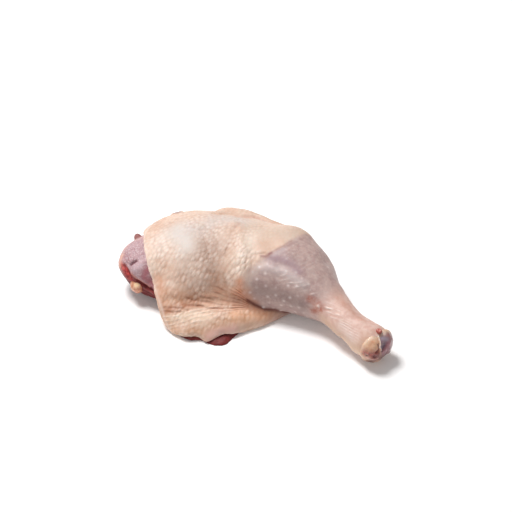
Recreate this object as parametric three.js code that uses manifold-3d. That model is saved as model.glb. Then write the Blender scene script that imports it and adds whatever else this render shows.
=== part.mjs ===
// A raw duck leg, lying on its inner side: thigh and drumstick in one piece, under their skin,
// cut off at the hip and at the hock.
// Millimetres, +Z up. The leg runs along X, from the hip (-X) to the hock (+X), and rests on Z = 0.
import * as THREE from 'three';
import { mergeVertices } from 'three/addons/utils/BufferGeometryUtils.js';
import Module from 'manifold-3d';

const wasm = await Module();
wasm.setup();

const vec = (x, y, z) => new THREE.Vector3(x, y, z);
const { degToRad, lerp, smoothstep } = THREE.MathUtils;

// Driving sizes: full lengths, widths and heights
const GAP = 0.3; // between two solids that touch
const THIGH = vec(104, 75, 53);
const CALF = vec(70, 49, 40);
const KNEE_WIDTH = 32;
const ANKLE_WIDTH = 18.5;
const HOCK_WIDTH = 21;
const THIGH_SKIN = 2.6;
const SHANK_SKIN = 1.4;
const FLAP_MEAT = vec(36, 50, 9);
const FEMUR_BALL = 10;
const VESSEL = 5.4;

// The joints of the bones carry the leg's shape
const HIP = vec(-84, -6, 19);
const KNEE = vec(-5, 28, 23);
const ANKLE = vec(59, -4.5, 17.2);
const HOCK = vec(83, -13, 14);

// Where the leg was cut: the skin's edge round the hip, as seen from above at the height of the table,
// how far it leans out for each millimetre of height, and the cut across the hock.
const SKIN_EDGE = [
  vec(-64, 70, 0), vec(-78, 54, 0), vec(-88, 37, 0), vec(-87, 20, 0), vec(-77.5, 4.5, 0),
  vec(-69, -10, 0), vec(-61.5, -29, 0), vec(-56, -43, 0), vec(-48, -52, 0), vec(-34, -64, 0),
];
const EDGE_LEAN = new THREE.Vector2(-0.36, -0.34);
const HOCK_CUT = vec(80, -18.5, 0);
const HOCK_CUT_YAW = -32;

// How finely the forms are wrapped: rows along the leg, and points around it
const SKIN_GRID = [76, 58];
const MEAT_GRID = [46, 32];
const KNUCKLE_GRID = [14, 20];
const BALL_GRID = [18, 12];
const EDGE_STEPS = 24; // of the skin's edge
const CROWDING = 0.75; // of the rows towards the two ends, from 0, even, to 1, as on a ball
const RAYS = 240; // that trace one row
const STEP = 1; // of a ray, before its end is narrowed down
const HALVINGS = 24; // that narrow it down
const REACH = 200; // further out than any form

// A point beside a bone: a share of the way along it, so far out to its left, at a height
function beside(start, end, share, out, height) {
  const along = end.clone().sub(start).setZ(0);
  const left = vec(-along.y, along.x, 0).setLength(out);
  return along.multiplyScalar(share).add(left).add(start).setZ(height);
}
const byThigh = (share, out, height) => beside(HIP, KNEE, share, out, height);
const byShank = (share, out, height) => beside(KNEE, ANKLE, share, out, height);

// Fields: a point's distance from a form, negative inside it
const local = new THREE.Vector3();

// An egg of a full size, pitched about its own Y and then turned by yaw about Z
function egg(centre, size, yaw = 0, pitch = 0) {
  const radii = size.clone().divideScalar(2);
  const turn = new THREE.Euler(0, degToRad(pitch), degToRad(yaw), 'ZYX');
  const toLocal = new THREE.Matrix4().makeRotationFromEuler(turn).setPosition(centre).invert();
  return (p) => {
    const reach = local.copy(p).applyMatrix4(toLocal).divide(radii).length();
    const slope = local.divide(radii).length();
    return reach * (reach - 1) / Math.max(slope, Number.EPSILON);
  };
}

// A limb that tapers from a ball at one joint to a ball at the next
function limb(start, end, startWidth, endWidth) {
  const axis = end.clone().sub(start);
  const length = axis.length();
  axis.normalize();
  const taper = (startWidth - endWidth) / 2 / length;
  const rise = Math.sqrt(1 - taper * taper);
  return (p) => {
    local.copy(p).sub(start);
    const along = local.dot(axis);
    const out = Math.sqrt(Math.max(local.lengthSq() - along * along, 0));
    const share = (along - out * taper / rise) / length;
    if (share < 0) return Math.hypot(along, out) - startWidth / 2;
    if (share > 1) return Math.hypot(along - length, out) - endWidth / 2;
    return rise * out + taper * along - startWidth / 2;
  };
}

// Joins two distances, with a fillet where they meet
function blend(a, b, fillet) {
  const near = Math.max(fillet - Math.abs(a - b), 0) / fillet;
  return Math.min(a, b) - near * near * fillet / 4;
}

// Muscles along the bones, and the two lobes that bulge out of the cut at the hip
const thigh = egg(byThigh(0.45, 3, 17.5), THIGH, 11);
const calf = egg(byShank(0.22, 0, 22.5), CALF, -28, 5);
const shin = limb(KNEE, ANKLE, KNEE_WIDTH, ANKLE_WIDTH);
const foot = limb(ANKLE, HOCK, ANKLE_WIDTH, HOCK_WIDTH);
const hipUpper = egg(byThigh(-0.05, -3.5, 21), vec(42, 40, 29), 35);
const hipLower = egg(byThigh(-0.05, -15, 11.5), vec(42, 20, 17), -20);

// Folds of skin and fat: the flap that is spread in front with its corner, the web from it to the
// drumstick, the drape down to it at the hip, and the roll along the back
const flap = egg(byThigh(0.42, -30, 3), vec(64, 60, 22));
const corner = egg(byThigh(0.25, -50, 3), vec(22, 15, 9), -48);
const web = egg(byThigh(0.8, -37, 3), vec(60, 22, 15), 51);
const drape = egg(byThigh(0.2, -18, 9), vec(58, 54, 36), 20);
const backRoll = egg(byThigh(0.78, 28.5, 25), vec(62, 17, 28), -6);

function meatField(p) {
  const shank = blend(shin(p), foot(p), 2);
  const leg = blend(blend(thigh(p), calf(p), 22), shank, 9);
  const hip = blend(hipUpper(p), hipLower(p), 3);
  return blend(leg, hip, 8);
}

function skinField(p) {
  const thickness = lerp(THIGH_SKIN, SHANK_SKIN, smoothstep(p.x, KNEE.x, ANKLE.x / 2));
  const front = blend(blend(flap(p), corner(p), 6), web(p), 6);
  const cover = blend(meatField(p) - GAP - thickness, blend(front, drape(p), 10), 9);
  return blend(cover, backRoll(p), 5);
}

// The end of the shin bone: two rounded condyles, side by side
const nearCondyle = egg(vec(81.5, -17, 12.5), vec(20, 17, 23), HOCK_CUT_YAW);
const farCondyle = egg(vec(85.5, -9, 13.5), vec(18, 15, 22), HOCK_CUT_YAW);
const knuckleField = (p) => blend(nearCondyle(p), farCondyle(p), 3);

// Wraps a sphere's grid over a field: its poles go to the ends of a spine that runs towards +X, and
// its rows become sections across the form
function wrapped(field, spine, level, [rows, around]) {
  const geometry = new THREE.SphereGeometry(1, around, rows);
  const place = geometry.getAttribute('position');
  const first = trace(field, spine[0], vec(-1, 0, 0), level);
  const last = trace(field, spine.at(-1), vec(1, 0, 0), level);
  const track = new THREE.CurvePath();
  track.add(new THREE.LineCurve3(first, spine[0]));
  track.add(new THREE.CatmullRomCurve3(spine));
  track.add(new THREE.LineCurve3(spine.at(-1), last));
  for (let row = 0; row <= rows; row++) {
    const centre = pointAt(track, lerp(first.x, last.x, crowded(row / rows)));
    const isPole = row === 0 || row === rows;
    const ring = isPole ? Array(around + 1).fill(centre) : section(field, centre, level, around);
    ring.forEach((p, i) => place.setXYZ(row * (around + 1) + i, p.x, p.y, p.z));
  }
  const miss = (middle) => Math.abs(field(middle) - level);
  splitSquares(geometry, around, miss);
  return solid(geometry);
}

// Between the rows at the poles, splits each square of a grid along the diagonal that misses a form by less
function splitSquares({ index, attributes }, around, miss) {
  const corner = (i) => new THREE.Vector3().fromBufferAttribute(attributes.position, index.getX(i));
  const missAt = (i, j) => miss(corner(i).lerp(corner(j), 0.5));
  const poleRow = 3 * around;
  for (let i = poleRow; i < index.count - poleRow; i += 6) {
    const [first, opposite] = [i, i + 4];
    if (missAt(first, opposite) < missAt(i + 1, i + 2)) {
      index.setX(i + 2, index.getX(opposite));
      index.setX(i + 3, index.getX(first));
    }
  }
}

// Rows stand closer together towards the two ends
function crowded(share) {
  const asOnBall = (1 - Math.cos(Math.PI * share)) / 2;
  return lerp(share, asOnBall, CROWDING);
}

// Narrows down where a test along a line turns true
function turningPoint(low, high, isPast) {
  for (let i = 0; i < HALVINGS; i++) {
    const mid = (low + high) / 2;
    if (isPast(mid)) high = mid;
    else low = mid;
  }
  return high;
}

// The point of a track at an X
function pointAt(track, x) {
  const share = turningPoint(0, 1, (s) => track.getPoint(s).x >= x);
  return track.getPoint(share).setX(x);
}

// Where a ray leaves a form
function trace(field, start, direction, level) {
  const p = new THREE.Vector3();
  const isOut = (far) => field(p.copy(direction).multiplyScalar(far).add(start)) > level;
  let far = STEP;
  while (!isOut(far) && far < REACH) far += STEP;
  return direction.clone().multiplyScalar(turningPoint(far - STEP, far, isOut)).add(start);
}

// A ring of points around a form at one X, from its front, spread evenly along its outline
function section(field, centre, level, around) {
  const outline = [];
  for (let i = 0; i <= RAYS; i++) {
    const turn = Math.PI * (1 - 2 * (i % RAYS) / RAYS);
    outline.push(trace(field, centre, vec(0, Math.cos(turn), Math.sin(turn)), level));
  }
  const path = new THREE.CurvePath();
  outline.slice(1).forEach((p, i) => path.add(new THREE.LineCurve3(outline[i], p)));
  const ring = path.getSpacedPoints(around);
  ring[around] = ring[0];
  return ring;
}

// Closed solids, for joining and cutting
function solid(geometry) {
  geometry.deleteAttribute('normal');
  geometry.deleteAttribute('uv');
  const merged = mergeVertices(geometry);
  return new wasm.Manifold(new wasm.Mesh({
    numProp: 3,
    vertProperties: merged.attributes.position.array,
    triVerts: new Uint32Array(merged.index.array),
  }));
}

function ellipsoid(centre, size, yaw = 0) {
  const sphere = new THREE.SphereGeometry(0.5, ...BALL_GRID).scale(...size);
  return solid(sphere.rotateZ(degToRad(yaw)).translate(...centre));
}
const ball = (centre, width) => ellipsoid(centre, vec(width, width, width));

// Everything below the table
function underTable() {
  return solid(new THREE.BoxGeometry(2 * REACH, 2 * REACH, REACH).translate(0, 0, -REACH / 2));
}

// Everything beyond the skin's edge at the hip
function beyondEdge() {
  const corners = new THREE.CatmullRomCurve3(SKIN_EDGE).getPoints(EDGE_STEPS).reverse();
  corners.unshift(vec(-REACH, corners[0].y, 0));
  corners.push(vec(-REACH, corners.at(-1).y, 0));
  const slab = new THREE.ExtrudeGeometry(new THREE.Shape(corners), { depth: REACH, bevelEnabled: false });
  const lean = new THREE.Matrix4().makeShear(0, 0, 0, 0, EDGE_LEAN.x, EDGE_LEAN.y);
  return solid(slab.translate(0, 0, -REACH / 2).applyMatrix4(lean));
}

// One side of the cut across the hock, from so far off it: before the cut (-1) or beyond it (+1)
function hockSide(side, off) {
  const half = new THREE.BoxGeometry(REACH, REACH, REACH).translate(side * REACH / 2 + off, 0, 0);
  return solid(half.rotateZ(degToRad(HOCK_CUT_YAW)).translate(...HOCK_CUT));
}

function meshOf(name, made, color, roughness) {
  const { vertProperties, triVerts } = made.getMesh();
  const geometry = new THREE.BufferGeometry();
  geometry.setAttribute('position', new THREE.BufferAttribute(vertProperties, 3));
  geometry.setIndex(new THREE.BufferAttribute(triVerts, 1));
  geometry.computeVertexNormals();
  const mesh = new THREE.Mesh(geometry, new THREE.MeshStandardMaterial({ color, roughness, metalness: 0 }));
  mesh.name = name;
  return mesh;
}

// The skin's spine runs low where the flap spreads, so that every row is seen whole from its middle
const meatSpine = [HIP, vec(-45, 5, 14), vec(-10, 10, 14), vec(12, 12, 17), vec(30, 6, 17), ANKLE, HOCK];
const skinSpine = [
  HIP, vec(-45, -3, 9), vec(-20, -4, 5), vec(-4, -1, 4), vec(9, 4, 6), vec(21, 7, 10), ANKLE, HOCK,
];
const knuckleSpine = [vec(80, -13, 13), vec(88, -13, 13)];
const table = underTable();
const beyondHock = hockSide(1, 0);

// The ball of the thigh bone in its socket, a cut vessel, and the meat that shows under the flap
const ballAt = vec(-87, -28, 13);
const femurHead = ball(ballAt, FEMUR_BALL);
const socket = ball(ballAt, FEMUR_BALL + 2 * GAP);
const vessel = ball(vec(-101, 1, 29), VESSEL);
const flapMeatAt = vec(-27, -24, 0);
const flapMeatYaw = 30;
const flapMeat = ellipsoid(flapMeatAt, FLAP_MEAT, flapMeatYaw);
const flapPocket = ellipsoid(flapMeatAt, FLAP_MEAT.clone().addScalar(2 * GAP), flapMeatYaw);

const meat = wrapped(meatField, meatSpine, 0, MEAT_GRID)
  .add(vessel)
  .add(flapMeat)
  .subtract(socket)
  .subtract(beyondHock)
  .subtract(table);
const skin = wrapped(skinField, skinSpine, 0, SKIN_GRID)
  .subtract(wrapped(meatField, meatSpine, GAP, MEAT_GRID))
  .subtract(flapPocket)
  .subtract(beyondEdge())
  .subtract(beyondHock)
  .subtract(table);
const knuckle = wrapped(knuckleField, knuckleSpine, 0, KNUCKLE_GRID)
  .subtract(hockSide(-1, GAP))
  .subtract(table);

const leg = new THREE.Group();
leg.add(meshOf('skin', skin, 0xe6c8b2, 0.5));
leg.add(meshOf('meat', meat, 0x9c4a50, 0.4));
leg.add(meshOf('femur_head', femurHead, 0xdfa186, 0.35));
leg.add(meshOf('hock_knuckle', knuckle, 0xb99a92, 0.35));

// The origin is under the middle of the leg, on the table
const box = new THREE.Box3().setFromObject(leg);
const middle = box.getCenter(new THREE.Vector3());
leg.position.set(-middle.x, -middle.y, -box.min.z);

export default leg;
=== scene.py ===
import bpy
import bmesh
import numpy as np
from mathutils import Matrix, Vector, kdtree, noise
from mathutils.bvhtree import BVHTree


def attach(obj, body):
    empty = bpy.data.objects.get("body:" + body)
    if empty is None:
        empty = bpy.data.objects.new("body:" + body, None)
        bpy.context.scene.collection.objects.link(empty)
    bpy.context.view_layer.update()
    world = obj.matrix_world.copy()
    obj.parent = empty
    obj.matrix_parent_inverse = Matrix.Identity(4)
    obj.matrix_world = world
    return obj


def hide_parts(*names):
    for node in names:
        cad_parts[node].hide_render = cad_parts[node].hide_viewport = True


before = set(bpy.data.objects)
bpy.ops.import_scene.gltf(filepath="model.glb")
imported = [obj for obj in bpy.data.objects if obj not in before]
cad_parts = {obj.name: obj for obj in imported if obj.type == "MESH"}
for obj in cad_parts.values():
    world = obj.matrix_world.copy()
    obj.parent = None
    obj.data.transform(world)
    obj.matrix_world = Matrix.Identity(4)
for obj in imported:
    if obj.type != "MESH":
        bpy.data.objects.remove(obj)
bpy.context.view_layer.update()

# A raw duck leg on a white table. Places and sizes are in millimetres, in the frame of the solids.
mm = 0.001
dice = np.random.default_rng(11)


# Pieces start as close-meshed copies of the solids

def closeCopy(name, node, voxel):
    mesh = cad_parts[node].data.copy()
    joined = bmesh.new()
    joined.from_mesh(mesh)
    bmesh.ops.remove_doubles(joined, verts=joined.verts, dist=1e-6)
    joined.to_mesh(mesh)
    joined.free()
    mesh.materials.clear()
    piece = bpy.data.objects.new(name, mesh)
    bpy.context.scene.collection.objects.link(piece)
    remesh = piece.modifiers.new("remesh", "REMESH")
    remesh.mode = "VOXEL"
    remesh.voxel_size = voxel * mm
    remesh.use_smooth_shade = True
    settle(piece)
    return piece


def settle(piece):  # applies the modifiers
    depsgraph = bpy.context.evaluated_depsgraph_get()
    mesh = bpy.data.meshes.new_from_object(piece.evaluated_get(depsgraph))
    piece.modifiers.clear()
    piece.data = mesh


def smoothOver(piece, rounds):
    smooth = piece.modifiers.new("smooth", "SMOOTH")
    smooth.factor = 0.5
    smooth.iterations = rounds
    settle(piece)


def thinOut(piece, weights, keep):  # fewer faces where the weights are high
    group = piece.vertex_groups.new(name="hidden")
    hidden = [int(i) for i in np.flatnonzero(weights > 0.5)]
    group.add(hidden, 1, "REPLACE")
    decimate = piece.modifiers.new("decimate", "DECIMATE")
    decimate.vertex_group = group.name
    decimate.vertex_group_factor = 1000
    decimate.ratio = 1 - len(hidden) / len(weights) * (1 - keep)
    settle(piece)
    piece.vertex_groups.clear()


def readPoints(piece, what="co"):
    values = np.empty(3 * len(piece.data.vertices), np.float32)
    piece.data.vertices.foreach_get(what, values)
    scale = mm if what == "co" else 1
    return values.reshape(-1, 3).astype(float) / scale


def movePoints(piece, points):
    piece.data.vertices.foreach_set("co", (points * mm).astype(np.float32).ravel())
    piece.data.update()

def giveZones(piece, zones):
    for name, values in zones.items():
        zone = piece.data.attributes.new(name, "FLOAT", "POINT")
        zone.data.foreach_set("value", np.clip(values, 0, 1).astype(np.float32))


# Zones of a surface, from 0 to 1

def step(values, low, high):
    share = np.clip((values - low) / (high - low), 0, 1)
    return share * share * (3 - 2 * share)


def fade(distance, reach):
    return np.exp(-(distance / reach) ** 2)


def spot(points, centre, reach):
    return fade(np.linalg.norm((points - np.array(centre)) / np.array(reach), axis=1), 1)


def nearestOn(points, line):  # the nearest places of a line, and how far off they are
    best = np.full(len(points), np.inf)
    found = np.zeros_like(points)
    for start, end in zip(line, line[1:]):
        start, along = np.array(start, float), np.subtract(end, start).astype(float)
        share = np.clip((points - start) @ along / (along @ along), 0, 1)
        place = start + share[:, None] * along
        far = np.linalg.norm(points - place, axis=1)
        closer = far < best
        best[closer], found[closer] = far[closer], place[closer]
    return found, best


def streak(points, line, reach):
    return fade(nearestOn(points, line)[1], reach)


def cloud(points, size, shift=0):  # soft noise, from -1 to 1, with features of a size
    scaled = points / size + shift
    return np.array([noise.noise(Vector(p)) for p in scaled])


def treeOf(points):
    tree = kdtree.KDTree(len(points))
    for i, p in enumerate(points):
        tree.insert(p, i)
    tree.balance()
    return tree


def scatter(points, spacing):  # picks points that are no closer together than the spacing
    tree = treeOf(points)
    free = np.ones(len(points), bool)
    picked = []
    for i in dice.permutation(len(points)):
        if free[i]:
            picked.append(i)
            for _, near, _ in tree.find_range(points[i], spacing):
                free[near] = False
    return points[picked]


def nearest(points, places):  # which of the places is nearest, and how far off it is
    tree = treeOf(places)
    found = [tree.find(p)[1:] for p in points]
    return np.array([i for i, _ in found]), np.array([far for _, far in found])


def unit(vector):
    return np.array(vector, float) / np.linalg.norm(vector)


def mottle(points, middle, swing, size, shift):  # values that swing about a middle
    return middle + swing * cloud(points, size, shift)


def unevenness(points, waves):
    return sum(height * cloud(points, size, shift) for height, size, shift in waves)


def relief(points, marks):  # heights of lines that stand out or lie deep
    return sum(level * streak(points, line, reach) for line, reach, level in marks)


def drag(points, pulls):  # shifts of the points around the places that are pulled
    return sum(spot(points, place, reach)[:, None] * np.array(shift) for place, reach, shift in pulls)


def patchZones(points, patches):
    return {name: streak(points, line, reach) for name, (line, reach) in patches.items()}


def distanceTo(tree, points):
    return np.array([tree.find_nearest(p)[3] for p in points])


# Materials: wires take part in sums, and a paint adds the nodes

class Wire:
    def __init__(self, paint, socket):
        self.paint = paint
        self.socket = socket

    def sum(self, kind, first, second):
        return self.paint.node("ShaderNodeMath", {"operation": kind}, {0: first, 1: second})

    def __add__(self, other):
        return self.sum("ADD", self, other)

    def __sub__(self, other):
        return self.sum("SUBTRACT", self, other)

    def __rsub__(self, other):
        return self.sum("SUBTRACT", other, self)

    def __mul__(self, other):
        return self.sum("MULTIPLY", self, other)

    def wave(self):
        return self.sum("SINE", self, 0)

    __radd__ = __add__
    __rmul__ = __mul__


def tint(code):  # a colour as painters write it, made linear
    parts = np.array([int(code[i:i + 2], 16) for i in (0, 2, 4)]) / 255
    linear = np.where(parts <= 0.04045, parts / 12.92, ((parts + 0.055) / 1.055) ** 2.4)
    return (*linear, 1)


class Paint:
    def __init__(self, name):
        self.material = bpy.data.materials.new(name)
        self.material.use_nodes = True
        self.tree = self.material.node_tree
        self.tree.nodes.clear()
        self.place = self.node("ShaderNodeTexCoord", out="Object")

    def node(self, kind, settings={}, sockets={}, out=0):
        made = self.tree.nodes.new(kind)
        for key, value in settings.items():
            setattr(made, key, value)
        for key, value in sockets.items():
            if isinstance(value, Wire):
                self.tree.links.new(value.socket, made.inputs[key])
            else:
                made.inputs[key].default_value = value
        return Wire(self, made.outputs[out]) if made.outputs else None

    def zone(self, name):
        return self.node("ShaderNodeAttribute", {"attribute_name": name}, out="Fac")

    def stretched(self, way, longer):  # places for textures whose features are longer one way
        turn = Vector(way).to_track_quat("X", "Z").to_euler()
        sockets = {"Vector": self.place, "Rotation": turn, "Scale": (longer, 1, 1)}
        return self.node("ShaderNodeMapping", {"vector_type": "TEXTURE"}, sockets)

    def grain(self, size, detail=3, way=(1, 0, 0), longer=1):  # noise with features of a size
        sockets = {"Vector": self.stretched(way, longer), "Scale": 1 / (size * mm), "Detail": detail}
        return self.node("ShaderNodeTexNoise", {}, sockets)

    def cells(self, size, way, longer):  # distance from the middles of scattered cells of a size
        sockets = {"Vector": self.stretched(way, longer), "Scale": 1 / (size * mm)}
        sockets.update({"Smoothness": 0.35, "Randomness": 0.9})
        return self.node("ShaderNodeTexVoronoi", {"feature": "SMOOTH_F1"}, sockets, "Distance")

    def ramp(self, value, low, high):
        sockets = {"Value": value, "From Min": low, "From Max": high}
        return self.node("ShaderNodeMapRange", {"interpolation_type": "SMOOTHSTEP"}, sockets)

    def mix(self, share, first, second):
        return self.node("ShaderNodeMix", {"data_type": "RGBA"}, {0: share, 6: first, 7: second}, 2)

    def patchy(self, size, first, second, low=0.35, high=0.65):  # two colours in patches of a size
        return self.mix(self.ramp(self.grain(size), low, high), tint(first), tint(second))

    def glaze(self, colour, tones):  # tints a colour in zones, one over the other
        for name, share, code in tones:
            colour = self.mix(share * self.zone(name), colour, tint(code))
        return colour

    def finish(self, sockets, relief=None, depth=0.1):
        if relief:
            bump = {"Height": relief, "Strength": 1.0, "Distance": depth * mm}
            sockets = {**sockets, "Normal": self.node("ShaderNodeBump", {}, bump)}
        shader = self.node("ShaderNodeBsdfPrincipled", {}, sockets)
        self.node("ShaderNodeOutputMaterial", {}, {"Surface": shader})
        return self.material


def translucent(share, radius, depth):  # sockets that let light into a surface
    return {"Subsurface Weight": share, "Subsurface Radius": radius, "Subsurface Scale": depth * mm}


# Skin

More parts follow.
